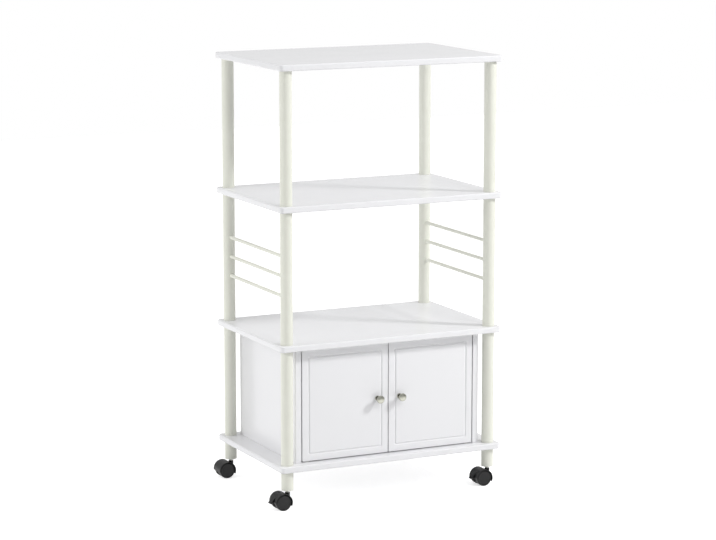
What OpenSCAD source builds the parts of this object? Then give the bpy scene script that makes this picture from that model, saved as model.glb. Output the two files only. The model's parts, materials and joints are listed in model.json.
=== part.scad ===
// Four-tier kitchen trolley for a microwave oven.
// Four lacquered boards are clamped between round steel tubes by hidden studs. A cabinet
// with two pivot-hung doors fills the lowest bay, three rods guard each side of the open
// bay, and the feet hold twin-wheel swivel casters, the front two with brake levers.
// Millimetres. X runs right, Y runs back and Z runs up. The origin is on the floor,
// midway between the four posts.

/* [Boards] */
// Width of every board, left to right
board_w = 600; // [540:10:700]
// Depth of every board, front to back
board_d = 400; // [380:10:480]
// Thickness of every board
board_t = 15; // [15:1:22]
// Radius of a board's corners, seen from above
board_corner_r = 10; // [6:1:18]
// Radius on a board's upper and lower edges
board_edge_r = 3; // [1:0.5:5]

/* [Bays] */
// Clear height of the cabinet
cabinet_h = 282; // [240:2:340]
// Clear height of the open bay between the side rails
rail_bay_h = 322; // [280:2:380]
// Clear height of the oven bay under the top board
oven_bay_h = 322.5; // [280:0.5:380]

/* [Posts] */
// Outer diameter of the round tubes
post_d = 30; // [28:1:36]
// Wall of the round tubes
post_wall = 1.5; // [1:0.1:2.5]
// From a board's edge to the tubes' axes
post_inset = 25; // [20:1:32]
// Chamfer on the rim at each end of a tube
post_rim = 0.6; // [0.2:0.1:0.9]
// Length of the short tube between the bottom board and a caster
foot_l = 46.5; // [40:0.5:80]

/* [Post fittings] */
// Diameter of the studs that join the tubes through the boards
stud_d = 8; // [6:1:10]
// How far a stud screws into the tube on each side
stud_reach = 11; // [8:1:12]
// Clearance of a stud in a board's hole, on each side
stud_hole_gap = 0.5; // [0.2:0.1:1]
// Length of the steel insert in a tube's end
insert_l = 13; // [13:1:18]
// Length of the threaded sleeve in the top board
sleeve_l = 10; // [8:0.5:12]
// Outer diameter of the threaded sleeve in the top board
sleeve_d = 12; // [11.5:0.5:14]

/* [Side rails] */
// Number of rods on each side
rail_count = 3; // [2:1:4]
// Diameter of a rod
rail_d = 9; // [6:0.5:10]
// Spacing of the rods
rail_pitch = 48.5; // [30:0.5:60]
// Height of the middle of the rods above the board under them
rail_mid_h = 163.5; // [120:0.5:190]
// How far a rod's end reaches past the face of a post
rail_entry = 4; // [3:0.5:8]

/* [Cabinet] */
// Gap between a side panel and the tubes beside it
panel_gap = 10; // [5:1:40]
// Thickness of a side panel
panel_t = 15; // [15:1:18]
// From a board's front and rear edges to the side panels
panel_inset = 30; // [28:1:45]
// Radius on the upright edges of a side panel
panel_edge_r = 1.2; // [0.5:0.1:2]
// Thickness of the back panel
back_t = 3; // [2.5:0.5:5]
// From the rear edges of the side panels to the back panel
back_inset = 6; // [4:1:12]
// Depth of the grooves that hold the back panel
back_groove = 5; // [3:0.5:6]

/* [Joinery] */
// Diameter of a cam lock
cam_d = 15; // [12:1:18]
// Depth of a cam lock's hole
cam_depth = 12.5; // [11:0.5:12.5]
// From a panel's end to a cam lock's axis
cam_edge = 24; // [20:1:34]
// From the panel's middle to its front and rear cam locks
cam_y = 125; // [100:1:135]
// Diameter of the bolt that a cam lock holds
cam_bolt_d = 6; // [5:0.5:7]
// How far a cam bolt screws into a board
cam_bolt_reach = 11; // [8:1:12]
// Diameter of a dowel
dowel_d = 8; // [6:1:10]
// Length of a dowel
dowel_l = 30; // [25:1:40]
// How far a dowel enters a board
dowel_reach = 10; // [8:1:12]
// From the panel's middle to its front and rear dowels
dowel_y = 60; // [30:1:90]

/* [Doors] */
// Thickness of a door
door_t = 15; // [15:1:18]
// Gap between a door and a side panel
door_side_gap = 2.5; // [2:0.1:4]
// Gap between the two doors
door_mid_gap = 2; // [1.5:0.1:4]
// Gap above a door
door_top_gap = 4.5; // [2:0.5:6]
// Gap below a door
door_bottom_gap = 2; // [1.6:0.1:4]
// Radius of a door's corners
door_corner_r = 2.5; // [2:0.5:6]
// Radius on the edges of a door's faces
door_edge_r = 1.2; // [0.5:0.1:2]
// From a door's edge to the middle of its routed line
mould_inset = 18; // [12:1:24]
// Width of the routed line
mould_w = 6; // [3:0.5:8]
// Depth of the routed line
mould_depth = 2.2; // [1:0.1:3]
// Radius of the routed line's corners
mould_corner_r = 4; // [4:0.5:10]

/* [Door pivots] */
// From a door's outer edge to its pivots' axis
pivot_inset = 14; // [12:0.5:16]
// Diameter of a pivot pin
pivot_d = 5; // [4:0.5:6]
// How far a pivot pin enters the door
pivot_grip = 20; // [15:1:30]
// Diameter of the collar that carries the door
pivot_collar_d = 8; // [7:0.5:10]
// Outer diameter of a pivot's bush
bush_d = 9; // [8:0.5:10]
// Diameter of a bush's flange
bush_flange_d = 12; // [11:0.5:14]
// Thickness of a bush's flange
bush_flange_t = 0.8; // [0.5:0.1:1]
// How far a bush enters a board
bush_l = 9; // [7:0.5:12]

/* [Knobs] */
// Diameter of a knob's head
knob_d = 20; // [16:0.5:26]
// How far a knob stands out from its door
knob_l = 25; // [20:0.5:32]
// Diameter of a knob's foot
knob_foot_d = 13; // [10:0.5:15]
// Diameter of a knob's neck
knob_neck_d = 8.4; // [7:0.2:9.6]
// From the middle of the cart to a knob's axis
knob_x = 30; // [20:1:50]
// Diameter of a knob's screw
knob_screw_d = 4; // [3:0.5:5]
// How far the screw enters the knob
knob_screw_reach = 9; // [6:0.5:12]
// Diameter of the screw's head
knob_head_d = 8; // [7:0.5:10]
// Thickness of the screw's head
knob_head_t = 2.6; // [2:0.1:3.5]

/* [Door catch] */
// Width of the magnetic catch
catch_w = 46; // [40:1:60]
// Depth of the magnetic catch
catch_d = 13; // [10:0.5:18]
// Height of the magnetic catch
catch_h = 20; // [18:0.5:24]
// Diameter of the pegs that hold the catch under its board
catch_peg_d = 5; // [4:0.5:6]
// Length of the pegs
catch_peg_l = 9; // [6:0.5:11]
// From the middle of the catch to a peg's axis
catch_peg_x = 15; // [10:0.5:18]
// Width of a magnet
magnet_w = 14; // [10:0.5:16]
// Height of a magnet
magnet_h = 8; // [6:0.5:10]
// Depth of a magnet
magnet_d = 6; // [4:0.5:8]
// From the middle of the catch to a magnet's middle
magnet_x = 12; // [9:0.5:14]
// From the board down to the magnets' and strikes' middle
strike_drop = 13; // [12.5:0.5:15]
// Diameter of a strike disc
strike_d = 14; // [10:0.5:15]
// Thickness of a strike disc
strike_t = 1.2; // [0.8:0.1:2]
// Diameter of a strike's spike
spike_d = 2.5; // [2:0.1:3]
// Length of a strike's spike
spike_l = 8; // [5:0.5:10]

/* [Casters] */
// From the floor to the foot's lower end
caster_h = 47; // [46:0.5:60]
// Diameter of a wheel
wheel_d = 40; // [36:1:42]
// Width over the pair of wheels
wheel_pair_w = 39.2; // [36:0.2:48]
// Radius on a wheel's outer shoulder
wheel_round = 2.8; // [1.5:0.1:3.5]
// From the swivel axis back to the wheels' axle
trail = 17; // [14:0.5:20]
// Diameter of the axle
axle_d = 6; // [5:0.5:7]
// Width of the hood's middle web
web_w = 16; // [15.6:0.2:18]
// Clearance between the web and a wheel
web_gap = 0.5; // [0.3:0.1:1]
// Clearance between the fender and the wheels
fender_gap = 0.8; // [0.5:0.1:1.2]
// Thickness of the fender
fender_t = 1.4; // [1.2:0.1:2]
// How far the fender reaches past a wheel's face
fender_lip = 1.4; // [0.2:0.1:2]
// Angle below the axle at which the fender ends in front
fender_front = 24; // [10:1:35]
// Angle below the axle at which the fender ends behind
fender_rear = 6; // [0:1:20]
// Diameter of the swivel boss
boss_d = 12.4; // [12:0.1:15]
// Diameter of the swivel pin in the boss
swivel_d = 7; // [6:0.5:8]
// Diameter of the stem in the foot
stem_d = 11; // [9:0.5:12]
// Diameter of the stem's collar
collar_d = 13; // [12.5:0.5:16]
// Thickness of the stem's collar
collar_t = 1.5; // [1:0.1:3]
// Diameter of the stem's neck, between its collar and the boss
neck_d = 9; // [8.5:0.5:12]
// Length of the neck
neck_l = 3.6; // [0.5:0.1:4]

/* [Brakes] */
// Width of the lever's pedal
pedal_w = 15; // [12:0.5:15]
// Width of the lever's arm
arm_w = 8; // [6:0.5:9]
// Diameter of the lever's trunnions
trunnion_d = 4; // [3:0.2:5]
// Thickness of the pedal
pedal_t = 3.4; // [2:0.1:3.6]
// Length of the pedal
pedal_l = 24; // [18:0.2:26]

/* [Clearances] */
// Clearance round a pin, shaft or plug in its hole
fit_gap = 0.05; // [0.02:0.01:0.1]
// Clearance between faces that pass each other
run_gap = 0.3; // [0.2:0.05:0.5]

/* [Hidden] */
$fn = 64;

// Finishes
ivory = [0.93, 0.93, 0.88];
white = [0.95, 0.95, 0.95];
nickel = [0.78, 0.77, 0.73];
zinc = [0.72, 0.73, 0.75];
nylon = [0.9, 0.9, 0.86];
black = [0.12, 0.12, 0.13];
beech = [0.85, 0.7, 0.5];

// Corners of the cart: names and the signs of X and Y
corner_names = ["front_left", "front_right", "rear_left", "rear_right"];
corner_signs = [[-1, -1], [1, -1], [-1, 1], [1, 1]];
post_x = board_w / 2 - post_inset;
post_y = board_d / 2 - post_inset;
post_bore_r = post_d / 2 - post_wall;

// Levels, from the floor up
bottom_z = caster_h + foot_l;
cabinet_z = bottom_z + board_t;
cabinet_top_z = cabinet_z + cabinet_h;
rail_bay_z = cabinet_top_z + board_t;
oven_board_z = rail_bay_z + rail_bay_h;
oven_bay_z = oven_board_z + board_t;
top_z = oven_bay_z + oven_bay_h;

// Cabinet and doors
cut = 1;                              // how far a cutter stands out past a face
cabinet_w = 2 * (post_x - post_d / 2 - panel_gap);
panel_d = board_d - 2 * panel_inset;
clear_w = cabinet_w - 2 * panel_t;
panel_x = (cabinet_w - panel_t) / 2;
panel_front = -panel_d / 2;
back_y = panel_d / 2 - back_inset - back_t;
door_w = (clear_w - door_mid_gap) / 2 - door_side_gap;
door_h = cabinet_h - door_top_gap - door_bottom_gap;
door_x = (door_mid_gap + door_w) / 2;
door_z = cabinet_z + door_bottom_gap;
door_inside = panel_front + door_t;
pivot_x = clear_w / 2 - door_side_gap - pivot_inset;
pivot_y = panel_front + door_t / 2;
pivot_end = 1;                        // from a pivot pin's end to the bottom of its bush
knob_z = cabinet_z + cabinet_h / 2;
strike_z = cabinet_top_z - strike_drop;
catch_front = door_inside + strike_t + run_gap;
hole_end = 0.2;                       // from the end of a peg or plug to its hole's end

// Casters, with the swivel axis as the local origin on the floor
wheel_r = wheel_d / 2;
wheel_w = (wheel_pair_w - web_w) / 2 - web_gap;
fender_in = wheel_r + fender_gap;
fender_out = fender_in + fender_t;
fender_w = wheel_pair_w + 2 * fender_lip;
collar_z = caster_h - collar_t;
neck_z = collar_z - neck_l;
boss_top = neck_z - run_gap;
boss_sink = 7;                        // how far the boss reaches below the axle
boss_floor = 2;                       // thickness under the swivel pin
boss_bottom = wheel_r - boss_sink;
swivel_bottom = boss_bottom + boss_floor;
web_sink = 1.8;                       // how far the web's edge stays inside the tread
web_low_r = wheel_r - web_sink;
socket_l = foot_l - insert_l - 1;
axle_l = wheel_pair_w - 7;
cheek_sink = 1.6;                     // how far the cheeks beside a brake lever stay inside the tread
pocket_r = wheel_r - cheek_sink;
pocket_start = 130;                   // angles between which the lever has its gap in the hood
pocket_end = 215;
trunnion_at = [-(wheel_r - 7.5), wheel_r - 12.5];
arm_r = trunnion_d / 2 + 1.6;         // radius of the lever's hub
arm_slot_r = norm(trunnion_at) - arm_r - 2 * run_gap;
pedal_tilt = 45;                      // slope of the pedal's upper face, in degrees
pedal_top = [-(wheel_r - 5.1), wheel_r - 3.6];

// ---- shared shapes ----

module at_post(i) {
    translate([corner_signs[i].x * post_x, corner_signs[i].y * post_y, 0]) children();
}

// a tube or bush: bore radius, outer radius, lower end and length
module ring(inner, outer, z, l) {
    translate([0, 0, z])
        difference() {
            cylinder(r = outer, h = l);
            translate([0, 0, -cut]) cylinder(r = inner, h = l + 2 * cut);
        }
}

// half of an edge's section: flat inside, rounded at the two outer corners
module edge_section(reach, t, r) {
    square([reach - r, t]);
    translate([0, r]) square([reach, t - 2 * r]);
    for (y = [r, t - r]) translate([reach - r, y]) circle(r);
}

// a flat board with round corners and soft edges, centred in X and Y, standing on Z = 0
module soft_board(w, d, t, corner_r, edge_r) {
    flat_x = w / 2 - corner_r;
    flat_y = d / 2 - corner_r;
    translate([-flat_x, -flat_y, 0]) cube([2 * flat_x, 2 * flat_y, t]);
    for (s = [0, 1]) {
        mirror([0, s, 0])
            translate([-flat_x, flat_y, 0])
                rotate([90, 0, 90])
                    linear_extrude(2 * flat_x) edge_section(corner_r, t, edge_r);
        mirror([s, 0, 0])
            translate([flat_x, flat_y, 0])
                rotate([90, 0, 0])
                    linear_extrude(2 * flat_y) edge_section(corner_r, t, edge_r);
        for (u = [0, 1])
            mirror([s, 0, 0])
                mirror([0, u, 0])
                    translate([flat_x, flat_y, 0])
                        rotate_extrude(angle = 90) edge_section(corner_r, t, edge_r);
    }
}

// a rectangle with round corners, centred
module soft_rectangle(w, d, r) {
    square([w - 2 * r, d], center = true);
    square([w, d - 2 * r], center = true);
    for (x = [-1, 1], y = [-1, 1])
        translate([x * (w / 2 - r), y * (d / 2 - r)]) circle(r);
}

// ---- boards ----

module board_blank(z) {
    translate([0, 0, z]) soft_board(board_w, board_d, board_t, board_corner_r, board_edge_r);
}

// holes right through a board at the four posts
module stud_holes(z) {
    for (i = [0:3])
        at_post(i)
            translate([0, 0, z - cut])
                cylinder(r = stud_d / 2 + stud_hole_gap, h = board_t + 2 * cut);
}

// the blind holes that the cabinet's parts need in a board's face at z; up = 1 or -1
module cabinet_holes(z, up) {
    for (sx = [-1, 1]) {
        for (sy = [-1, 1]) {
            translate([sx * panel_x, sy * cam_y, z])
                blind_hole(cam_bolt_d / 2 + fit_gap, cam_bolt_reach + hole_end, up);
            translate([sx * panel_x, sy * dowel_y, z])
                blind_hole(dowel_d / 2 + fit_gap, dowel_reach + hole_end, up);
        }
        translate([sx * pivot_x, pivot_y, z])
            blind_hole(bush_d / 2 + fit_gap, bush_l + hole_end, up);
    }
}

module blind_hole(r, depth, up) {
    translate([0, 0, up > 0 ? -cut : -depth]) cylinder(r = r, h = depth + cut);
}

module top_board() {
    color(white)
        difference() {
            board_blank(top_z);
            for (i = [0:3])
                at_post(i)
                    translate([0, 0, top_z]) blind_hole(sleeve_d / 2 + fit_gap, sleeve_l + hole_end, 1);
        }
}

module oven_board() {
    color(white)
        difference() {
            board_blank(oven_board_z);
            stud_holes(oven_board_z);
        }
}

module cabinet_top_board() {
    color(white)
        difference() {
            board_blank(cabinet_top_z);
            stud_holes(cabinet_top_z);
            cabinet_holes(cabinet_top_z, 1);
            for (sx = [-1, 1])
                translate([sx * catch_peg_x, catch_front + catch_d / 2, cabinet_top_z])
                    blind_hole(catch_peg_d / 2 + fit_gap, catch_peg_l + hole_end, 1);
        }
}

module bottom_board() {
    color(white)
        difference() {
            board_blank(bottom_z);
            stud_holes(bottom_z);
            cabinet_holes(cabinet_z, -1);
        }
}

// ---- posts, rails and their fittings ----

module post_tube(z, l) {
    outer = post_d / 2;
    translate([0, 0, z])
        rotate_extrude()
            polygon([
                [post_bore_r, 0], [outer - post_rim, 0], [outer, post_rim],
                [outer, l - post_rim], [outer - post_rim, l], [post_bore_r, l]
            ]);
}

function rail_z(k) = rail_bay_z + rail_mid_h + (k - (rail_count - 1) / 2) * rail_pitch;

module upper_post(i) {
    color(ivory) at_post(i) post_tube(oven_bay_z, oven_bay_h);
}

module middle_post(i) {
    color(ivory)
        at_post(i)
            difference() {
                post_tube(rail_bay_z, rail_bay_h);
                for (k = [0:rail_count - 1])
                    translate([0, 0, rail_z(k)])
                        rotate([90 * corner_signs[i].y, 0, 0])
                            cylinder(r = rail_d / 2 + fit_gap, h = post_d / 2 + cut);
            }
}

module lower_post(i) {
    color(ivory) at_post(i) post_tube(cabinet_z, cabinet_h);
}

module foot(i) {
    color(ivory) at_post(i) post_tube(caster_h, foot_l);
}

module rails(side) {
    color(ivory)
        for (k = [0:rail_count - 1])
            translate([side * post_x, 0, rail_z(k)])
                rotate([90, 0, 0])
                    cylinder(d = rail_d, h = 2 * post_y - post_d + 2 * rail_entry, center = true);
}

module board_studs() {
    color(zinc)
        for (i = [0:3])
            at_post(i) {
                for (z = [bottom_z, cabinet_top_z, oven_board_z])
                    translate([0, 0, z - stud_reach])
                        cylinder(d = stud_d, h = board_t + 2 * stud_reach);
                translate([0, 0, top_z - stud_reach])
                    cylinder(d = stud_d, h = stud_reach + sleeve_l - hole_end);
            }
}

module post_inserts() {
    upward = [cabinet_z, rail_bay_z, oven_bay_z];
    downward = [bottom_z, cabinet_top_z, oven_board_z, top_z];
    color(zinc)
        for (i = [0:3])
            at_post(i)
                for (z = concat(upward, [for (end = downward) end - insert_l]))
                    ring(stud_d / 2 + fit_gap, post_bore_r - fit_gap, z, insert_l);
}

module top_sleeves() {
    color(zinc)
        for (i = [0:3])
            at_post(i) ring(stud_d / 2 + fit_gap, sleeve_d / 2, top_z, sleeve_l);
}

module caster_sockets() {
    color(nylon)
        for (i = [0:3])
            at_post(i) ring(stem_d / 2 + fit_gap, post_bore_r - fit_gap, caster_h, socket_l);
}

module caster_stems() {
    stem_top = caster_h + socket_l - 1;
    nose = 1.5;                       // chamfer at the top of the stem
    snap_z = stem_top - 8;            // groove of the snap ring
    snap_h = 3;
    snap_depth = 0.8;
    color(zinc)
        for (i = [0:3])
            at_post(i)
                rotate_extrude()
                    polygon([
                        [0, swivel_bottom], [swivel_d / 2, swivel_bottom],
                        [swivel_d / 2, neck_z], [neck_d / 2, neck_z],
                        [neck_d / 2, collar_z], [collar_d / 2, collar_z],
                        [collar_d / 2, caster_h], [stem_d / 2, caster_h],
                        [stem_d / 2, snap_z], [stem_d / 2 - snap_depth, snap_z],
                        [stem_d / 2 - snap_depth, snap_z + snap_h], [stem_d / 2, snap_z + snap_h],
                        [stem_d / 2, stem_top - nose], [stem_d / 2 - nose, stem_top], [0, stem_top]
                    ]);
}

// ---- cabinet ----

module side_panel(side) {
    color(white)
        difference() {
            translate([side * panel_x, 0, cabinet_z])
                linear_extrude(cabinet_h) soft_rectangle(panel_t, panel_d, panel_edge_r);
            // groove for the back panel
            translate([side * (clear_w / 2 + back_groove / 2), back_y + back_t / 2, cabinet_z + cabinet_h / 2])
                cube([back_groove + 2 * fit_gap, back_t + 2 * fit_gap, cabinet_h + 2 * cut], center = true);
            for (sy = [-1, 1])
                for (z = [cabinet_z, cabinet_top_z]) {
                    up = z == cabinet_z ? 1 : -1;
                    translate([side * panel_x, sy * dowel_y, z])
                        blind_hole(dowel_d / 2 + fit_gap, dowel_l - dowel_reach + hole_end, up);
                    translate([side * panel_x, sy * cam_y, z])
                        blind_hole(cam_bolt_d / 2 + stud_hole_gap, cam_edge, up);
                    translate([side * clear_w / 2, sy * cam_y, z + up * cam_edge])
                        rotate([0, side * 90, 0]) blind_hole(cam_d / 2 + fit_gap, cam_depth, 1);
                }
        }
}

module back_panel() {
    reach = back_groove - hole_end;
    color(white)
        translate([-clear_w / 2 - reach, back_y, cabinet_z + fit_gap])
            cube([clear_w + 2 * reach, back_t, cabinet_h - 2 * fit_gap]);
}

module dowels() {
    color(beech)
        for (sx = [-1, 1], sy = [-1, 1])
            for (z = [cabinet_z - dowel_reach, cabinet_top_z + dowel_reach - dowel_l])
                translate([sx * panel_x, sy * dowel_y, z]) cylinder(d = dowel_d, h = dowel_l);
}

// a cam bolt ends just short of its cam lock's axis
module cam_bolts() {
    l = cam_bolt_reach + cam_edge - hole_end;
    color(zinc)
        for (sx = [-1, 1], sy = [-1, 1])
            for (z = [cabinet_z - cam_bolt_reach, cabinet_top_z + cam_bolt_reach - l])
                translate([sx * panel_x, sy * cam_y, z]) cylinder(d = cam_bolt_d, h = l);
}

module cam_locks() {
    thickness = cam_depth - hole_end;
    slot_l = cam_d * 0.55;            // cross recess for the screwdriver
    slot_w = 1.4;
    slot_depth = 2;
    color(zinc)
        for (sx = [-1, 1], sy = [-1, 1], up = [-1, 1])
            translate([sx * clear_w / 2, sy * cam_y, up > 0 ? cabinet_z + cam_edge : cabinet_top_z - cam_edge])
                difference() {
                    rotate([0, sx * 90, 0]) cylinder(d = cam_d, h = thickness);
                    for (a = [0, 90])
                        rotate([a, 0, 0])
                            cube([2 * slot_depth, slot_l, slot_w], center = true);
                    translate([sx * panel_t / 2, 0, 0])
                        blind_hole(cam_bolt_d / 2 + stud_hole_gap, cam_d, -up);
                }
}

// ---- doors ----

// the routed line's V section, with its mouth at height 0
module mould_section() {
    polygon([
        [-mould_w / 2, 0], [0, -mould_depth], [mould_w / 2, 0],
        [mould_w / 2, cut], [-mould_w / 2, cut]
    ]);
}

// the routed line on a board's upper face, as a rounded rectangle on its middle line
module mould_line(w, d) {
    flat_x = w / 2 - mould_corner_r;
    flat_y = d / 2 - mould_corner_r;
    for (s = [0, 1]) {
        mirror([0, s, 0])
            translate([-flat_x, d / 2, 0])
                rotate([90, 0, 90]) linear_extrude(2 * flat_x) mould_section();
        mirror([s, 0, 0])
            translate([w / 2, flat_y, 0])
                rotate([90, 0, 0]) linear_extrude(2 * flat_y) mould_section();
        for (u = [0, 1])
            mirror([s, 0, 0])
                mirror([0, u, 0])
                    translate([flat_x, flat_y, 0])
                        rotate_extrude(angle = 90)
                            translate([mould_corner_r, 0]) mould_section();
    }
}

module door_leaf(side) {
    color(white)
        difference() {
            translate([side * door_x, door_inside, door_z + door_h / 2])
                rotate([90, 0, 0])
                    difference() {
                        soft_board(door_w, door_h, door_t, door_corner_r, door_edge_r);
                        translate([0, 0, door_t])
                            mould_line(door_w - 2 * mould_inset, door_h - 2 * mould_inset);
                    }
            // pivot holes in the lower and upper edges
            translate([side * pivot_x, pivot_y, door_z])
                blind_hole(pivot_d / 2 + fit_gap, pivot_grip + hole_end, 1);
            translate([side * pivot_x, pivot_y, door_z + door_h])
                blind_hole(pivot_d / 2 + fit_gap, pivot_grip + hole_end, -1);
            // knob screw and strike
            translate([side * knob_x, door_inside, knob_z])
                rotate([90, 0, 0])
                    translate([0, 0, -cut])
                        cylinder(r = knob_screw_d / 2 + fit_gap, h = door_t + 2 * cut);
            translate([side * magnet_x, door_inside, strike_z])
                rotate([90, 0, 0]) blind_hole(spike_d / 2 + fit_gap, spike_l + hole_end, 1);
        }
}

// the lower pin has a collar that carries the door on its bush
module door_pivots(side) {
    collar_low = cabinet_z + bush_flange_t + run_gap;
    low_end = cabinet_z - bush_l + pivot_end;
    high_end = cabinet_top_z + bush_l - pivot_end;
    color(zinc)
        translate([side * pivot_x, pivot_y, 0]) {
            translate([0, 0, low_end]) cylinder(d = pivot_d, h = door_z + pivot_grip - low_end);
            translate([0, 0, collar_low]) cylinder(d = pivot_collar_d, h = door_z - collar_low);
            translate([0, 0, door_z + door_h - pivot_grip])
                cylinder(d = pivot_d, h = high_end - (door_z + door_h - pivot_grip));
        }
}

module pivot_bushes() {
    bore = pivot_d / 2 + fit_gap;
    color(nylon)
        for (sx = [-1, 1])
            translate([sx * pivot_x, pivot_y, 0]) {
                ring(bore, bush_d / 2, cabinet_z - bush_l, bush_l);
                ring(bore, bush_flange_d / 2, cabinet_z, bush_flange_t);
                ring(bore, bush_d / 2, cabinet_top_z, bush_l);
                ring(bore, bush_flange_d / 2, cabinet_top_z - bush_flange_t, bush_flange_t);
            }
}

// a mushroom knob as a turned section: foot, waisted neck, flared head and domed face
module knob_section() {
    foot_t = 1.6;
    rim_l = knob_l * 0.7;             // height of the head's widest place
    rim_r = 1.6;
    dome_h = knob_l - rim_l;
    dome_r = (pow(knob_d / 2, 2) + pow(dome_h, 2)) / (2 * dome_h);
    polygon([
        [0, 0], [knob_foot_d / 2, 0], [knob_foot_d / 2, foot_t],
        [knob_neck_d / 2 + 0.6, foot_t + 1.8], [knob_neck_d / 2, foot_t + 4],
        [knob_neck_d / 2, rim_l - 7], [knob_neck_d / 2 + 1.4, rim_l - 3.4],
        [knob_d / 2 - rim_r, rim_l - rim_r], [knob_d / 2 - rim_r, rim_l], [0, rim_l]
    ]);
    intersection() {
        translate([0, knob_l - dome_r]) circle(dome_r);
        translate([0, rim_l - rim_r / 2]) square([knob_d / 2 - rim_r / 2, knob_l]);
    }
    translate([knob_d / 2 - rim_r, rim_l]) circle(rim_r);
}

module knob(side) {
    color(nickel)
        translate([side * knob_x, panel_front, knob_z])
            rotate([90, 0, 0])
                difference() {
                    rotate_extrude() knob_section();
                    translate([0, 0, -cut])
                        cylinder(r = knob_screw_d / 2 + fit_gap, h = knob_screw_reach + hole_end + cut);
                }
}

module knob_screw(side) {
    color(zinc)
        translate([side * knob_x, door_inside, knob_z])
            rotate([90, 0, 0])
                difference() {
                    union() {
                        cylinder(d = knob_screw_d, h = door_t + knob_screw_reach);
                        translate([0, 0, -knob_head_t]) cylinder(d = knob_head_d, h = knob_head_t);
                    }
                    for (a = [0, 90])
                        rotate([0, 0, a])
                            translate([0, 0, -knob_head_t])
                                cube([knob_head_d * 0.6, 0.9, knob_head_t], center = true);
                }
}

// ---- magnetic catch ----

module magnet_blocks(grow) {
    for (sx = [-1, 1])
        translate([sx * magnet_x, catch_front + magnet_d / 2, strike_z])
            cube([magnet_w + 2 * grow, magnet_d + 2 * grow, magnet_h + 2 * grow], center = true);
}

module magnetic_catch() {
    color(nylon) {
        difference() {
            translate([0, catch_front + catch_d / 2, cabinet_top_z - catch_h])
                linear_extrude(catch_h) soft_rectangle(catch_w, catch_d, 2);
            magnet_blocks(fit_gap);
        }
        for (sx = [-1, 1])
            translate([sx * catch_peg_x, catch_front + catch_d / 2, cabinet_top_z])
                cylinder(d = catch_peg_d, h = catch_peg_l);
    }
}

module catch_magnets() {
    color(black) magnet_blocks(0);
}

module strike(side) {
    color(zinc)
        translate([side * magnet_x, door_inside, strike_z])
            rotate([90, 0, 0]) {
                translate([0, 0, -strike_t]) cylinder(d = strike_d, h = strike_t);
                cylinder(d = spike_d, h = spike_l);
            }
}

// ---- casters, each about its swivel axis ----

// puts a flat drawing of X and height above the axle into the wheels' plane, w wide
module across_wheels(w) {
    translate([-trail, 0, wheel_r]) rotate([90, 0, 0]) linear_extrude(w, center = true) children();
}

// the sector of a disc of radius r that runs from one angle to another
module sector(r, from, to) {
    intersection() {
        circle(r);
        polygon(concat([[0, 0]], [for (k = [0:6]) 2 * r * [cos(from + (to - from) * k / 6),
                                                          sin(from + (to - from) * k / 6)]]));
    }
}

// an arc-shaped band between two radii
module band(inner, outer, from, to) {
    difference() {
        sector(outer, from, to);
        circle(inner);
    }
}

module hood(i) {
    braked = corner_signs[i].y < 0;
    color(black)
        at_post(i)
            difference() {
                union() {
                    across_wheels(fender_w) band(fender_in, fender_out, -fender_front, 180 + fender_rear);
                    across_wheels(web_w) {
                        circle(web_low_r);
                        sector(fender_out, -fender_front, 180 + fender_rear);
                    }
                    translate([0, 0, boss_bottom]) cylinder(d = boss_d, h = boss_top - boss_bottom);
                }
                // swivel bore, open at the top, and axle bore
                translate([0, 0, swivel_bottom - hole_end])
                    cylinder(r = swivel_d / 2 + fit_gap, h = caster_h);
                across_wheels(web_w + 2 * cut) circle(axle_d / 2 + fit_gap);
                if (braked) {
                    // gap for the pedal, slot for the arm and holes for the trunnions
                    across_wheels(pedal_w + 2 * run_gap)
                        band(pocket_r, fender_out + cut, pocket_start, pocket_end);
                    across_wheels(arm_w + 2 * run_gap)
                        band(arm_slot_r, fender_out + cut, pocket_start, pocket_end);
                    across_wheels(web_w + 2 * cut)
                        translate(trunnion_at) circle(trunnion_d / 2 + fit_gap);
                }
            }
}

// half a wheel's section: radius, then distance from its inner face
module wheel_section() {
    hub_r = axle_d / 2 + 3;
    rim_t = 3;                        // thickness of the rim under the tread
    face_t = 3;                       // thickness of the outer disc
    dish = 0.7;                       // depth of the dished face
    face_r = wheel_r - 4.6;
    difference() {
        union() {
            square([wheel_r - wheel_round, wheel_w]);
            square([wheel_r, wheel_w - wheel_round]);
            translate([wheel_r - wheel_round, wheel_w - wheel_round]) circle(wheel_round);
        }
        translate([hub_r, -cut]) square([wheel_r - rim_t - hub_r, wheel_w - face_t - dish + cut]);
        translate([-cut, -cut]) square([axle_d / 2 + cut, (axle_l - web_w) / 2 - web_gap + hole_end + cut]);
        translate([-cut, wheel_w - dish]) square([face_r + cut, cut + dish]);
    }
}

module wheels(i) {
    color(black)
        at_post(i)
            translate([-trail, 0, wheel_r])
                for (a = [90, -90])
                    rotate([a, 0, 0])
                        translate([0, 0, web_w / 2 + web_gap]) rotate_extrude() wheel_section();
}

module axle(i) {
    color(zinc)
        at_post(i)
            translate([-trail, 0, wheel_r])
                rotate([90, 0, 0]) cylinder(r = axle_d / 2 - fit_gap / 5, h = axle_l, center = true);
}

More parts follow.
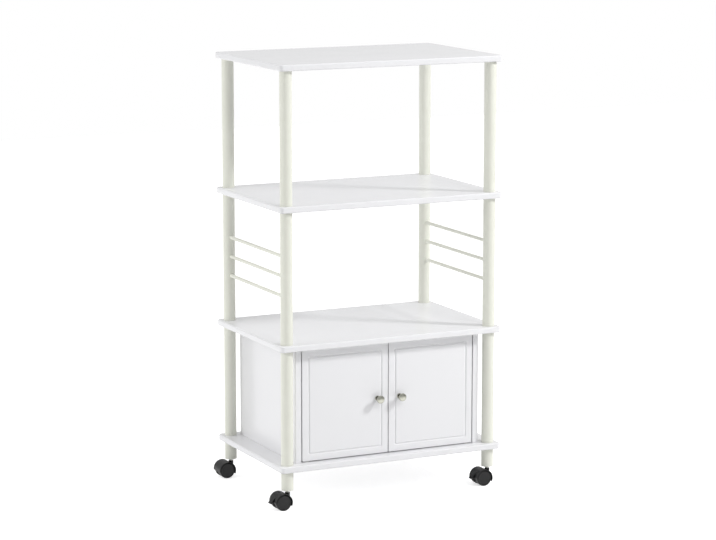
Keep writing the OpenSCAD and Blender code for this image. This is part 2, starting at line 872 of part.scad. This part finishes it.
module brake_lever(i) {
    // along the pedal's upper face, and square to it towards the wheel
    along = [-cos(pedal_tilt), -sin(pedal_tilt)];
    inward = [sin(pedal_tilt), -cos(pedal_tilt)];
    tip = pedal_top + pedal_l * along;
    tip_t = 0.8 * pedal_t;            // the pedal's thickness at its tip, its waist and its root
    waist_t = 0.6 * pedal_t;
    root_t = 0.45 * pedal_t;
    waist_l = 0.46 * pedal_l;         // where the pedal passes the hood's edge
    lip_l = 3;                        // length of the bevel under the tip
    color(black)
        at_post(i) {
            across_wheels(pedal_w)
                polygon([
                    pedal_top, tip, tip + tip_t * inward, tip - lip_l * along + pedal_t * inward,
                    pedal_top + waist_l * along + waist_t * inward, pedal_top + root_t * inward
                ]);
            across_wheels(arm_w) {
                translate(trunnion_at) circle(arm_r);
                polygon([
                    trunnion_at + arm_r * [0.5, 0.85], pedal_top + 1.5 * along + 1 * inward,
                    pedal_top + 9 * along + 1.2 * inward, trunnion_at + arm_r * [-0.2, -0.98]
                ]);
            }
            across_wheels(web_w - 2 * run_gap) translate(trunnion_at) circle(trunnion_d / 2);
        }
}

// ---- the nodes ----

top_board();
oven_board();
cabinet_top_board();
bottom_board();
rails(-1);  // left_rails
rails(1);  // right_rails
board_studs();
post_inserts();
top_sleeves();
caster_sockets();
caster_stems();
side_panel(-1);  // left_panel
side_panel(1);  // right_panel
back_panel();
dowels();
cam_bolts();
cam_locks();
door_leaf(-1);  // left_door
door_leaf(1);  // right_door
door_pivots(-1);  // left_door_pivots
door_pivots(1);  // right_door_pivots
pivot_bushes();
knob(-1);  // left_knob
knob(1);  // right_knob
knob_screw(-1);  // left_knob_screw
knob_screw(1);  // right_knob_screw
magnetic_catch();
catch_magnets();
strike(-1);  // left_strike
strike(1);  // right_strike
for (i = [0:3]) {
    corner = corner_names[i];
    upper_post(i);
    middle_post(i);
    lower_post(i);
    foot(i);
    hood(i);
    wheels(i);
    axle(i);
    brake_lever(i);
}
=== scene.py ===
import bpy
import bmesh
import json
import math
from mathutils import Matrix, Vector


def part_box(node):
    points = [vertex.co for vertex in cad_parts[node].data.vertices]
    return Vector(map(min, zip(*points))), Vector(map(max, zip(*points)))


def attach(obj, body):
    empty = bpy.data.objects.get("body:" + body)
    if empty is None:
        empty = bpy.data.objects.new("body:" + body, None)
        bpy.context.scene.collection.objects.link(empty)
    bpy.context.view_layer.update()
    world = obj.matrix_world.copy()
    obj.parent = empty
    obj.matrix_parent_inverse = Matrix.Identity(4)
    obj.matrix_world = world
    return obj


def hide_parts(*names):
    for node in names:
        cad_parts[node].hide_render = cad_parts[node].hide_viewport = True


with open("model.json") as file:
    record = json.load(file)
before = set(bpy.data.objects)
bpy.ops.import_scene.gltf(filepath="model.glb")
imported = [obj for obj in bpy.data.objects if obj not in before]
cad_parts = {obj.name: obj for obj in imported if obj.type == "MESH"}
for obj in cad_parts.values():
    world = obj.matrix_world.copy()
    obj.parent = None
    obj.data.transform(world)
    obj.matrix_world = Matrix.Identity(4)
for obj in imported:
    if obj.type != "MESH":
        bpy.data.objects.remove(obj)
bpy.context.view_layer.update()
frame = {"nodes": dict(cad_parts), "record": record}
mm = 0.001
corners = ("front_left", "front_right", "rear_left", "rear_right")
bodyOf = {node: body for body, nodes in frame["record"]["behaviour"]["bodies"].items() for node in nodes}
slotOf = {part["node"]: part["material_slot"] for part in frame["record"]["subparts"]}
print("frame loaded,", len(frame["nodes"]), "nodes")


# small helpers

meshing = {"mergeDistance": 0.001 * mm, "sharpAngle": 34, "flatWeight": 80, "leastCorner": 0.1 * mm}


def linear(hexText):
    parts = [int(hexText[i:i + 2], 16) / 255 for i in (1, 3, 5)]
    return [p / 12.92 if p <= 0.04045 else ((p + 0.055) / 1.055) ** 2.4 for p in parts] + [1]


def addNode(tree, kind, settings=None, links=None):
    # a setting is one of the node's own, or else the value of one of its inputs
    node = tree.nodes.new(kind)
    for name, value in (settings or {}).items():
        if isinstance(name, str) and hasattr(node, name):
            setattr(node, name, value)
        else:
            node.inputs[name].default_value = value
    for name, socket in (links or {}).items():
        tree.links.new(socket, node.inputs[name])
    return node


def bake(obj):
    # the evaluated mesh takes the place of the mesh and its modifiers
    depsgraph = bpy.context.evaluated_depsgraph_get()
    mesh = bpy.data.meshes.new_from_object(obj.evaluated_get(depsgraph), preserve_all_data_layers=True,
                                           depsgraph=depsgraph)
    obj.modifiers.clear()
    old = obj.data
    obj.data = mesh
    bpy.data.meshes.remove(old)
    mesh.name = obj.name


def linked(name, mesh):
    obj = bpy.data.objects.new(name, mesh)
    bpy.context.scene.collection.objects.link(obj)
    return obj


def shade(mesh, sharpAngle):
    for face in mesh.polygons:
        face.use_smooth = True
    mesh.set_sharp_from_angle(angle=math.radians(sharpAngle))


def pieceFrom(name, bm, sharpAngle=meshing["sharpAngle"]):
    bmesh.ops.remove_doubles(bm, verts=bm.verts, dist=meshing["mergeDistance"])
    bmesh.ops.recalc_face_normals(bm, faces=bm.faces)
    mesh = bpy.data.meshes.new(name)
    bm.to_mesh(mesh)
    bm.free()
    shade(mesh, sharpAngle)
    obj = linked(name, mesh)
    weighted = obj.modifiers.new("weightedNormals", "WEIGHTED_NORMAL")    # keeps the big faces flat
    weighted.keep_sharp = True
    weighted.weight = meshing["flatWeight"]
    bake(obj)
    return obj


def standFor(obj, node):
    obj.data.materials.clear()
    obj.data.materials.append(finishes[slotOf[node]])
    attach(obj, bodyOf[node])
    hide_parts(node)


# materials

def startFinish(name, colour, roughness, metallic=0.0, ior=1.5):
    material = bpy.data.materials.new(name)
    material.use_nodes = True
    tree = material.node_tree
    shader = tree.nodes["Principled BSDF"]
    shader.inputs["Base Color"].default_value = linear(colour)
    shader.inputs["Roughness"].default_value = roughness
    shader.inputs["Metallic"].default_value = metallic
    shader.inputs["IOR"].default_value = ior
    coords = addNode(tree, "ShaderNodeTexCoord")
    return material, tree, shader, coords.outputs["Object"]


def mottle(tree, shader, position, light, dark, patch):
    # patch is the size of a patch in metres
    noise = addNode(tree, "ShaderNodeTexNoise", {"Scale": 1 / patch, "Detail": 3, "Roughness": 0.55},
                    {"Vector": position})
    mix = addNode(tree, "ShaderNodeMix", {"data_type": "RGBA"})
    mix.inputs[6].default_value = linear(light)
    mix.inputs[7].default_value = linear(dark)
    tree.links.new(noise.outputs["Fac"], mix.inputs[0])
    tree.links.new(mix.outputs[2], shader.inputs["Base Color"])
    return mix


def uneven(tree, shader, position, low, high, patch):
    # the roughness wanders between low and high
    noise = addNode(tree, "ShaderNodeTexNoise", {"Scale": 1 / patch, "Detail": 4}, {"Vector": position})
    spread = addNode(tree, "ShaderNodeMapRange",
                     {"From Min": 0.3, "From Max": 0.7, "To Min": low, "To Max": high},
                     {"Value": noise.outputs["Fac"]})
    tree.links.new(spread.outputs["Result"], shader.inputs["Roughness"])


def relief(tree, shader, height, depth, strength):
    # depth is the real height of the relief in metres
    bump = addNode(tree, "ShaderNodeBump", {"Strength": strength, "Distance": depth}, {"Height": height})
    tree.links.new(bump.outputs["Normal"], shader.inputs["Normal"])


def sprayedLacquer():
    # two-pack lacquer sprayed on fibreboard: soft gloss with a faint orange peel, 3 mm across
    material, tree, shader, position = startFinish("sprayedLacquer", "#EDEDEF", 0.2, ior=1.45)
    mottle(tree, shader, position, "#EEEEF0", "#ECECEE", 240 * mm)
    uneven(tree, shader, position, 0.18, 0.22, 160 * mm)
    peel = addNode(tree, "ShaderNodeTexNoise", {"Scale": 1 / (3 * mm), "Detail": 1},
                   {"Vector": position})
    relief(tree, shader, peel.outputs["Fac"], 0.004 * mm, 0.2)
    return material


def powderCoat():
    # baked epoxy powder on steel tube: satin, with a pebbled skin 0.9 mm across
    material, tree, shader, position = startFinish("powderCoat", "#E8E9DE", 0.36, ior=1.5)
    mottle(tree, shader, position, "#EBECE2", "#E6E7DB", 30 * mm)
    uneven(tree, shader, position, 0.32, 0.42, 12 * mm)
    pebbles = addNode(tree, "ShaderNodeTexVoronoi", {"feature": "SMOOTH_F1", "Scale": 1 / (0.9 * mm)},
                      {"Vector": position})
    relief(tree, shader, pebbles.outputs["Distance"], 0.03 * mm, 0.4)
    return material


def mouldedNylon():
    # glass-filled nylon from a spark-eroded mould: near black, fine grain drawn 0.6 mm across
    material, tree, shader, position = startFinish("mouldedNylon", "#0E0E0F", 0.4, ior=1.43)
    mottle(tree, shader, position, "#121213", "#0C0C0D", 4 * mm)
    uneven(tree, shader, position, 0.34, 0.46, 6 * mm)
    grain = addNode(tree, "ShaderNodeTexNoise", {"Scale": 1 / (0.6 * mm), "Detail": 2},
                    {"Vector": position})
    relief(tree, shader, grain.outputs["Fac"], 0.04 * mm, 0.5)
    return material


def satinNickel():
    # turned zinc under satined nickel plating: fine rings from the lathe, drawn 0.8 mm apart, and
    #     # the stem under the head painted darker all round, as painted shade
    material, tree, shader, position = startFinish("satinNickel", "#C4C4B8", 0.46, metallic=1.0)
    satined = mottle(tree, shader, position, "#C9C9BD", "#BCBCB0", 5 * mm)
    turning = addNode(tree, "ShaderNodeUVMap", {"uv_map": "turning"}).outputs["UV"]
    along = addNode(tree, "ShaderNodeSeparateXYZ", None, {"Vector": turning})
    # the UV map's Y is the way along the section in mm, from the middle of the foot: the stem's
    #     # middle is at 16.5, and the painted shade is full for 5.5 either side and gone 8.5 away
    offNeck = addNode(tree, "ShaderNodeMath", {"operation": "SUBTRACT", 1: 16.5},
                      {0: along.outputs["Y"]})
    offNeck = addNode(tree, "ShaderNodeMath", {"operation": "ABSOLUTE"}, {0: offNeck.outputs[0]})
    neckShade = addNode(tree, "ShaderNodeMapRange",
                   {"From Min": 5.5, "From Max": 8.5, "To Min": 1, "To Max": 0},
                   {"Value": offNeck.outputs[0]})
    platedAndShaded = addNode(tree, "ShaderNodeMix", {"data_type": "RGBA"},
                     {0: neckShade.outputs["Result"], 6: satined.outputs[2]})
    # painted shade: the dark grey that the stem's colour is mixed towards
    platedAndShaded.inputs[7].default_value = linear("#4C4C46")
    tree.links.new(platedAndShaded.outputs[2], shader.inputs["Base Color"])
    rings = addNode(tree, "ShaderNodeTexWave",    # at a scale of 1 the rings are pi / 10 apart
                    {"wave_type": "BANDS", "bands_direction": "Y", "Scale": 0.3981, "Distortion": 0.6},
                    {"Vector": turning})
    relief(tree, shader, rings.outputs["Fac"], 0.01 * mm, 0.5)
    uneven(tree, shader, position, 0.42, 0.52, 3 * mm)
    return material


def zincPlate():
    # zinc on steel under a clear passivate: pale and cloudy, and half of its light is scattered
    material, tree, shader, position = startFinish("zincPlate", "#D6D7D2", 0.45, metallic=0.5)
    mottle(tree, shader, position, "#DCDDD8", "#CBCCC7", 3 * mm)
    uneven(tree, shader, position, 0.38, 0.5, 2 * mm)
    return material


def naturalNylon():
    # unfilled nylon: milky off-white with a low sheen
    material, tree, shader, position = startFinish("naturalNylon", "#E6E5DC", 0.4, ior=1.53)
    mottle(tree, shader, position, "#EAE9E1", "#DFDED3", 6 * mm)
    uneven(tree, shader, position, 0.34, 0.46, 4 * mm)
    return material


def sinteredFerrite():
    # pressed and fired magnet: charcoal, dull and finely pitted
    material, tree, shader, position = startFinish("sinteredFerrite", "#3A3A3C", 0.62)
    mottle(tree, shader, position, "#424245", "#303033", 2 * mm)
    pits = addNode(tree, "ShaderNodeTexNoise", {"Scale": 1 / (0.5 * mm), "Detail": 3},
                   {"Vector": position})
    relief(tree, shader, pits.outputs["Fac"], 0.05 * mm, 0.6)
    return material


def rawBeech():
    # turned beech dowel: straight pale grain with short darker flecks
    material, tree, shader, position = startFinish("rawBeech", "#D8B98C", 0.6)
    along = addNode(tree, "ShaderNodeMapping", {"Scale": (1, 1, 0.08)}, {"Vector": position})
    mottle(tree, shader, along.outputs["Vector"], "#DFC196", "#C49F70", 1.2 * mm)
    return material


finishes = {
    "white_lacquer": sprayedLacquer(),
    "ivory_powder_coat": powderCoat(),
    "black_nylon": mouldedNylon(),
    "satin_nickel": satinNickel(),
    "zinc_plate": zincPlate(),
    "white_nylon": naturalNylon(),
    "black_ferrite": sinteredFerrite(),
    "beech": rawBeech(),
}
print("materials made,", len(finishes))


# shape tools

def lay(centre, facing):
    # turns local right, up and out into the cart's axes
    across, upward, outward = {
        "up": ((1, 0, 0), (0, 1, 0), (0, 0, 1)),
        "front": ((1, 0, 0), (0, 0, 1), (0, -1, 0)),
        "back": ((-1, 0, 0), (0, 0, 1), (0, 1, 0)),
    }[facing]
    return Matrix.Translation(centre) @ Matrix((across, upward, outward)).transposed().to_4x4()


def standing(centre, size):
    return lay((centre.x, centre.y, centre.z - size.z / 2), "up")


def facingFront(centre, size):
    return lay((centre.x, centre.y + size.y / 2, centre.z), "front")


def middle(node):
    low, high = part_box(node)
    return (low + high) / 2, high - low


def roundedOutline(width, depth, radius, steps):
    points = []
    for signX, signY, start in ((1, 1, 0), (-1, 1, 90), (-1, -1, 180), (1, -1, 270)):
        for k in range(steps + 1):
            angle = math.radians(start + 90 * k / steps)
            points.append((signX * (width / 2 - radius) + radius * math.cos(angle),
                           signY * (depth / 2 - radius) + radius * math.sin(angle)))
    return points


def edgeLoops(thickness, slab):
    # (inset, height, corner radius) up one side of a slab with rounded edges
    radius, corner, steps = slab["edgeRadius"], slab["cornerRadius"], slab["edgeSteps"]
    quarter = [(radius * (1 - math.sin(math.radians(90 * k / steps))),
                radius * (1 - math.cos(math.radians(90 * k / steps)))) for k in range(steps + 1)]
    rising = [(inset, height, corner - inset) for inset, height in quarter]
    falling = [(inset, thickness - height, corner - inset) for inset, height in reversed(quarter)]
    return rising + falling


def addSlab(bm, width, depth, loops, matrix, cornerSteps):
    rings = []
    for inset, height, radius in loops:
        outline = roundedOutline(width - 2 * inset, depth - 2 * inset,
                                 max(radius, meshing["leastCorner"]), cornerSteps)
        rings.append([bm.verts.new(matrix @ Vector((x, y, height))) for x, y in outline])
    count = len(rings[0])
    for low, high in zip(rings, rings[1:]):
        for k in range(count):
            bm.faces.new((low[k], low[(k + 1) % count], high[(k + 1) % count], high[k]))
    bm.faces.new(list(reversed(rings[0])))
    bm.faces.new(rings[-1])


def addTurned(bm, profile, matrix, steps, closed=False):
    # profile is (radius, height); a point on the axis becomes a pole
    layer = bm.loops.layers.uv.get("turning") or bm.loops.layers.uv.new("turning")
    points = profile + profile[:1] if closed else profile
    travelled = [0]
    for (r0, h0), (r1, h1) in zip(points, points[1:]):
        travelled.append(travelled[-1] + math.hypot(r1 - r0, h1 - h0))
    rings = []
    for radius, height in points:
        if radius == 0:
            rings.append([bm.verts.new(matrix @ Vector((0, 0, height)))] * steps)
            continue
        angles = [2 * math.pi * k / steps for k in range(steps)]
        rings.append([bm.verts.new(matrix @ Vector((radius * math.cos(a), radius * math.sin(a), height)))
                      for a in angles])
    for row, (low, high) in enumerate(zip(rings, rings[1:])):
        for k in range(steps):
            after = (k + 1) % steps
            square = [(low[k], k, row), (low[after], k + 1, row),
                      (high[after], k + 1, row + 1), (high[k], k, row + 1)]
            distinct = []
            for vert, turn, level in square:
                if vert not in [v for v, t, l in distinct]:
                    distinct.append((vert, turn, level))
            if len(distinct) < 3:
                continue
            face = bm.faces.new([v for v, t, l in distinct])
            for loop, (vert, turn, level) in zip(face.loops, distinct):
                loop[layer].uv = (turn / steps, travelled[level] / mm)


def arc(centreR, centreH, radius, start, end, steps):
    angles = [math.radians(start + (end - start) * k / steps) for k in range(steps + 1)]
    return [(centreR + radius * math.cos(a), centreH + radius * math.sin(a)) for a in angles]


def smoothThrough(points, steps):
    # a Catmull-Rom curve through given points
    ends = [points[0]] + points + [points[-1]]
    curve = []
    for p0, p1, p2, p3 in zip(ends, ends[1:], ends[2:], ends[3:]):
        for k in range(steps):
            t = k / steps
            curve.append(tuple(0.5 * (2 * b + (c - a) * t + (2 * a - 5 * b + 4 * c - d) * t * t
                                      + (3 * b - a - 3 * c + d) * t ** 3)
                               for a, b, c, d in zip(p0, p1, p2, p3)))
    return curve + [points[-1]]


def levelSlab(node, slab):
    centre, size = middle(node)
    bm = bmesh.new()
    addSlab(bm, size.x, size.y, edgeLoops(size.z, slab), standing(centre, size), slab["cornerSteps"])
    standFor(pieceFrom(node.replace("_", "."), bm), node)


# boards

board = {"cornerRadius": 10 * mm, "cornerSteps": 10, "edgeRadius": 3 * mm, "edgeSteps": 6}
for node in ("top_board", "oven_board", "cabinet_top_board", "bottom_board"):
    levelSlab(node, board)
print("boards made")


# posts

post = {"wall": 1.5 * mm, "rimRadius": 0.6 * mm, "rimSteps": 3, "steps": 72}


def tubeProfile(radius, length):
    rim, steps = post["rimRadius"], post["rimSteps"]
    inner = radius - post["wall"]
    return ([(inner, 0)] + arc(radius - rim, rim, rim, -90, 0, steps)
            + arc(radius - rim, length - rim, rim, 0, 90, steps) + [(inner, length)])


for corner in corners:
    for part in ("upper_post", "middle_post", "lower_post", "foot"):
        node = corner + "_" + part
        centre, size = middle(node)
        bm = bmesh.new()
        profile = tubeProfile(size.x / 2, size.z)
        addTurned(bm, profile, standing(centre, size), post["steps"], closed=True)
        standFor(pieceFrom(node.replace("_", "."), bm), node)
print("posts made")


# side rods

rod = {"count": 3, "sides": 28}


def rodTree():
    # a column of level rods, spaced by pitch
    tree = bpy.data.node_groups.new("sideRods", "GeometryNodeTree")
    tree.interface.new_socket("Geometry", in_out="OUTPUT", socket_type="NodeSocketGeometry")
    for name, kind in (("Count", "NodeSocketInt"), ("Sides", "NodeSocketInt"),
                       ("Radius", "NodeSocketFloat"), ("Length", "NodeSocketFloat"),
                       ("Pitch", "NodeSocketFloat"), ("Lowest", "NodeSocketVector"),
                       ("Finish", "NodeSocketMaterial")):
        tree.interface.new_socket(name, in_out="INPUT", socket_type=kind)
    given = addNode(tree, "NodeGroupInput").outputs
    step = addNode(tree, "ShaderNodeCombineXYZ", None, {"Z": given["Pitch"]})
    column = addNode(tree, "GeometryNodeMeshLine", None,
                     {"Count": given["Count"], "Start Location": given["Lowest"],
                      "Offset": step.outputs[0]})
    bar = addNode(tree, "GeometryNodeMeshCylinder", {"Side Segments": 1},
                  {"Vertices": given["Sides"], "Radius": given["Radius"], "Depth": given["Length"]})
    spread = addNode(tree, "GeometryNodeInstanceOnPoints", {"Rotation": (math.radians(90), 0, 0)},
                     {"Points": column.outputs[0], "Instance": bar.outputs["Mesh"]})
    real = addNode(tree, "GeometryNodeRealizeInstances", None, {"Geometry": spread.outputs[0]})
    coated = addNode(tree, "GeometryNodeSetMaterial", None,
                     {"Geometry": real.outputs[0], "Material": given["Finish"]})
    addNode(tree, "NodeGroupOutput", None, {"Geometry": coated.outputs[0]})
    return tree


def grow(obj, tree, values):
    modifier = obj.modifiers.new(tree.name, "NODES")
    modifier.node_group = tree
    for item in tree.interface.items_tree:
        if item.in_out == "INPUT" and item.name in values:
            modifier[item.identifier] = values[item.name]
    bake(obj)


rods = rodTree()
for side in ("left", "right"):
    node = side + "_rails"
    centre, size = middle(node)
    radius = size.x / 2
    obj = linked(side + ".rails", bpy.data.meshes.new(side + ".rails"))
    grow(obj, rods, {"Count": rod["count"], "Sides": rod["sides"], "Radius": radius, "Length": size.y,
                     "Pitch": (size.z - size.x) / (rod["count"] - 1),
                     "Lowest": (centre.x, centre.y, centre.z - size.z / 2 + radius),
                     "Finish": finishes[slotOf[node]]})
    shade(obj.data, meshing["sharpAngle"])
    standFor(obj, node)
print("side rods made")


# cabinet panels

panel = {"cornerRadius": 1.2 * mm, "cornerSteps": 4, "edgeRadius": 0.4 * mm, "edgeSteps": 2}
for node in ("left_panel", "right_panel"):
    levelSlab(node, panel)

backPanel = {"cornerRadius": 0.5 * mm, "cornerSteps": 1, "edgeRadius": 0.3 * mm, "edgeSteps": 1}
centre, size = middle("back_panel")
bm = bmesh.new()
addSlab(bm, size.x, size.z, edgeLoops(size.y, backPanel), facingFront(centre, size),
        backPanel["cornerSteps"])
standFor(pieceFrom("back.panel", bm), "back_panel")
print("cabinet panels made")


# doors, each with a routed V line run round its face

door = {"cornerRadius": 2.5 * mm, "cornerSteps": 6, "edgeRadius": 1.2 * mm, "edgeSteps": 4,
        "sharpAngle": 50, "lineInset": 18 * mm, "lineWidth": 6 * mm, "lineDepth": 2.2 * mm,
        "lineCorner": 4 * mm, "lineLip": 0.35 * mm, "lineBottom": 0.12 * mm}


def routedLoops(thickness):
    half, lip, bottom = door["lineWidth"] / 2, door["lineLip"], door["lineBottom"]
    # (across the line, share of its depth)
    section = [(-half - lip, 0), (-half, 0.05), (-half + lip, 0.16), (-bottom, 0.97),
               (bottom, 0.97), (half - lip, 0.16), (half, 0.05), (half + lip, 0)]
    return [(door["lineInset"] + across, thickness - share * door["lineDepth"],
             door["lineCorner"] - across) for across, share in section]


for side in ("left", "right"):
    node = side + "_door"
    centre, size = middle(node)
    bm = bmesh.new()
    addSlab(bm, size.x, size.z, edgeLoops(size.y, door) + routedLoops(size.y),
            facingFront(centre, size), door["cornerSteps"])
    standFor(pieceFrom(side + ".door", bm, door["sharpAngle"]), node)
print("doors made")


# knobs, as (radius, height) in mm from the crown down to the foot's edge

knob = {"section": [(0, 25), (3.6, 24.6), (6.8, 23.4), (9.0, 21.5), (9.92, 19.1), (9.7, 16.9),
                    (8.5, 15.2), (6.4, 13.6), (4.9, 11.6), (4.3, 9), (4.3, 6), (5, 3.4), (6.2, 2.1),
                    (6.5, 1.2)],
        "footRadius": 6.5 * mm, "stepsBetween": 5, "steps": 56}
for side in ("left", "right"):
    node = side + "_knob"
    centre, size = middle(node)
    section = [(radius * mm, height * mm)
               for radius, height in smoothThrough(knob["section"], knob["stepsBetween"])]
    profile = [(0, 0), (knob["footRadius"], 0)] + list(reversed(section))
    bm = bmesh.new()
    addTurned(bm, profile, facingFront(centre, size), knob["steps"])
    standFor(pieceFrom(side + ".knob", bm), node)
print("knobs made")


# casters

wheel = {"radius": 20 * mm, "width": 11.1 * mm, "webHalf": 8.5 * mm, "steps": 72, "sharpAngle": 40,
         "innerEdge": 0.6 * mm, "innerSteps": 3, "shoulder": 2.8 * mm, "shoulderSteps": 8,
         "rimWall": 3 * mm, "faceWall": 3 * mm, "hubRadius": 6 * mm,
         "faceRadius": 15.4 * mm, "dish": 0.7 * mm, "lipOut": 0.5 * mm, "lipIn": 0.3 * mm,
         "faceRing": 1.2 * mm}
moulding = {"edge": 0.35 * mm, "edgeSteps": 2, "edgeAngle": 38, "sharpAngle": 40,
            "mergeDistance": 0.002 * mm, "flatAngle": 0.6}


def wheelProfile():
    # a cup round a hub, with its open side to the web and a dished face outside
    radius, hub, lip = wheel["radius"], wheel["hubRadius"], wheel["faceRadius"]
    width, edge, shoulder = wheel["width"], wheel["innerEdge"], wheel["shoulder"]
    rim = radius - wheel["rimWall"]
    face = width - wheel["dish"]
    cup = face - wheel["faceWall"]
    return ([(0, 0), (hub, 0), (hub, cup), (rim, cup), (rim, 0)]
            + arc(radius - edge, edge, edge, -90, 0, wheel["innerSteps"])
            + arc(radius - shoulder, width - shoulder, shoulder, 0, 90, wheel["shoulderSteps"])
            + [(lip + wheel["lipOut"], width), (lip, width - wheel["dish"] / 2),
               (lip - wheel["lipIn"], face), (lip - wheel["faceRing"], face), (0, face)])


def easedCopy(node, name):
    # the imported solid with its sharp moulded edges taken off
    bm = bmesh.new()
    bm.from_mesh(frame["nodes"][node].data)
    bmesh.ops.remove_doubles(bm, verts=bm.verts, dist=moulding["mergeDistance"])
    bmesh.ops.dissolve_limit(bm, angle_limit=math.radians(moulding["flatAngle"]), verts=bm.verts,
                             edges=bm.edges)
    mesh = bpy.data.meshes.new(name)
    bm.to_mesh(mesh)
    bm.free()
    obj = linked(name, mesh)
    bevel = obj.modifiers.new("mouldedEdge", "BEVEL")
    bevel.width = moulding["edge"]
    bevel.segments = moulding["edgeSteps"]
    bevel.limit_method = "ANGLE"
    bevel.angle_limit = math.radians(moulding["edgeAngle"])
    bevel.use_clamp_overlap = True
    bake(obj)
    shade(obj.data, moulding["sharpAngle"])
    weighted = obj.modifiers.new("weightedNormals", "WEIGHTED_NORMAL")
    weighted.keep_sharp = True
    bake(obj)
    return obj


for corner in corners:
    axis = middle(corner + "_axle")[0]
    bm = bmesh.new()
    for facing, out in (("front", -1), ("back", 1)):
        addTurned(bm, wheelProfile(), lay((axis.x, axis.y + out * wheel["webHalf"], axis.z), facing),
                  wheel["steps"])
    standFor(pieceFrom(corner + ".wheels", bm, wheel["sharpAngle"]), corner + "_wheels")
    standFor(easedCopy(corner + "_hood", corner + ".hood"), corner + "_hood")
    if corner.startswith("front"):    # only the front casters have brakes
        standFor(easedCopy(corner + "_brake_lever", corner + ".brake.lever"), corner + "_brake_lever")
print("casters made")


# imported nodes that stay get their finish

for node, obj in frame["nodes"].items():
    for holder in obj.material_slots:
        holder.material = finishes[slotOf[node]]


# studio

studio = {"floorSize": 14, "floor": "#E4E4E4", "ambient": 0.73, "reflected": 0.66, "paper": 1.0,
          "floorGlow": 0.68, "aimHeight": 0.55}
white = (1, 1, 1, 1)


def seenBy(tree, ray, plain, special):
    # one kind of ray meets the special shader and the rest meet the plain one
    path = addNode(tree, "ShaderNodeLightPath")
    mix = addNode(tree, "ShaderNodeMixShader", None, {0: path.outputs[ray], 1: plain, 2: special})
    return mix.outputs[0]


def blankPaint(name):
    paint = bpy.data.materials.new(name)
    paint.use_nodes = True
    paint.node_tree.nodes.clear()
    return paint, paint.node_tree


def flatSheet(name, points, paint):
    mesh = bpy.data.meshes.new(name)
    mesh.from_pydata(points, [], [(0, 1, 2, 3)])
    mesh.materials.append(paint)
    return linked(name, mesh)


world = bpy.data.worlds.new("paperSweep")
bpy.context.scene.world = world
world.use_nodes = True
tree = world.node_tree
tree.nodes.clear()
ambient, reflected, paper = (
    addNode(tree, "ShaderNodeBackground", {"Color": white, "Strength": studio[name]}).outputs[0]
    for name in ("ambient", "reflected", "paper"))
seen = seenBy(tree, "Is Glossy Ray", ambient, reflected)
seen = seenBy(tree, "Is Camera Ray", seen, paper)
addNode(tree, "ShaderNodeOutputWorld", None, {"Surface": seen})

# the floor is matt, and lifted to the background's white where the lens or the gloss sees it
floorPaint, tree = blankPaint("paperFloor")
matt = addNode(tree, "ShaderNodeBsdfDiffuse", {"Color": linear(studio["floor"])}).outputs[0]
glow = addNode(tree, "ShaderNodeEmission", {"Color": white, "Strength": studio["floorGlow"]}).outputs[0]
lifted = addNode(tree, "ShaderNodeAddShader", None, {0: matt, 1: glow}).outputs[0]
seen = seenBy(tree, "Is Glossy Ray", matt, lifted)
seen = seenBy(tree, "Is Camera Ray", seen, lifted)
addNode(tree, "ShaderNodeOutputMaterial", None, {"Surface": seen})
half = studio["floorSize"] / 2
outline = [(-half, -half, 0), (half, -half, 0), (half, half, 0), (-half, half, 0)]
floor = flatSheet("floor", outline, floorPaint)

lamps = {
    "keyRight": {"place": (2.64, -2.12, 2.67), "size": (0.5, 0.5), "watts": 82},
    "fillFront": {"place": (0.6, -3.3, 2.9), "size": (1.6, 1.6), "watts": 29},
    "stripLeft": {"place": (-3.0, 0.3, 1.3), "size": (1.6, 2.4), "watts": 31},
}
aim = Vector((0, 0, studio["aimHeight"]))
for name, lamp in lamps.items():
    light = bpy.data.lights.new(name, "AREA")
    light.shape = "RECTANGLE"
    light.size, light.size_y = lamp["size"]
    light.energy = lamp["watts"]
    obj = linked(name, light)
    obj.location = lamp["place"]
    obj.rotation_euler = (aim - Vector(lamp["place"])).to_track_quat("-Z", "Y").to_euler()
    obj.visible_camera = False
    obj.visible_glossy = False    # a lamp's image in the lacquer would bleach the boards from behind

# cloths that the camera doesn't see: the black one behind the lens keeps the side towards it darker
# than the lit sides, and the grey one at the right keeps the posts' right rims from glaring;
# turn is in degrees from the way the lens points, clockwise from above
cloths = {
    "lensCloth": {"distance": 6.2, "turn": 195, "width": 9.0, "height": 5.0, "colour": "#2C2C2C"},
    "sideCloth": {"distance": 3.8, "turn": 92, "width": 6.0, "height": 3.4, "colour": "#6C6C6C"},
}
lens = {"place": (-2.772, -5.743, 1.658), "yaw": 25.76, "pitch": 9.95, "focal": 130.42, "sensor": 36}
yaw = math.radians(lens["yaw"])
for name, cloth in cloths.items():
    turn = yaw + math.radians(cloth["turn"])
    foot = Vector((math.sin(turn), math.cos(turn), 0)) * cloth["distance"]
    across = Vector((math.cos(turn), -math.sin(turn), 0)) * cloth["width"] / 2
    rise = Vector((0, 0, cloth["height"]))
    paint, tree = blankPaint(name)
    grey = addNode(tree, "ShaderNodeEmission", {"Color": linear(cloth["colour"])})
    addNode(tree, "ShaderNodeOutputMaterial", None, {"Surface": grey.outputs[0]})
    outline = [foot - across, foot + across, foot + across + rise, foot - across + rise]
    obj = flatSheet(name, outline, paint)
    obj.visible_camera = False

cameraData = bpy.data.cameras.new("camera")
cameraData.lens = lens["focal"]
cameraData.sensor_width = lens["sensor"]
camera = linked("camera", cameraData)
camera.location = lens["place"]
camera.rotation_euler = (math.radians(90 - lens["pitch"]), 0, -yaw)
bpy.context.scene.camera = camera
bpy.context.scene.view_settings.view_transform = "Standard"
print("studio set")
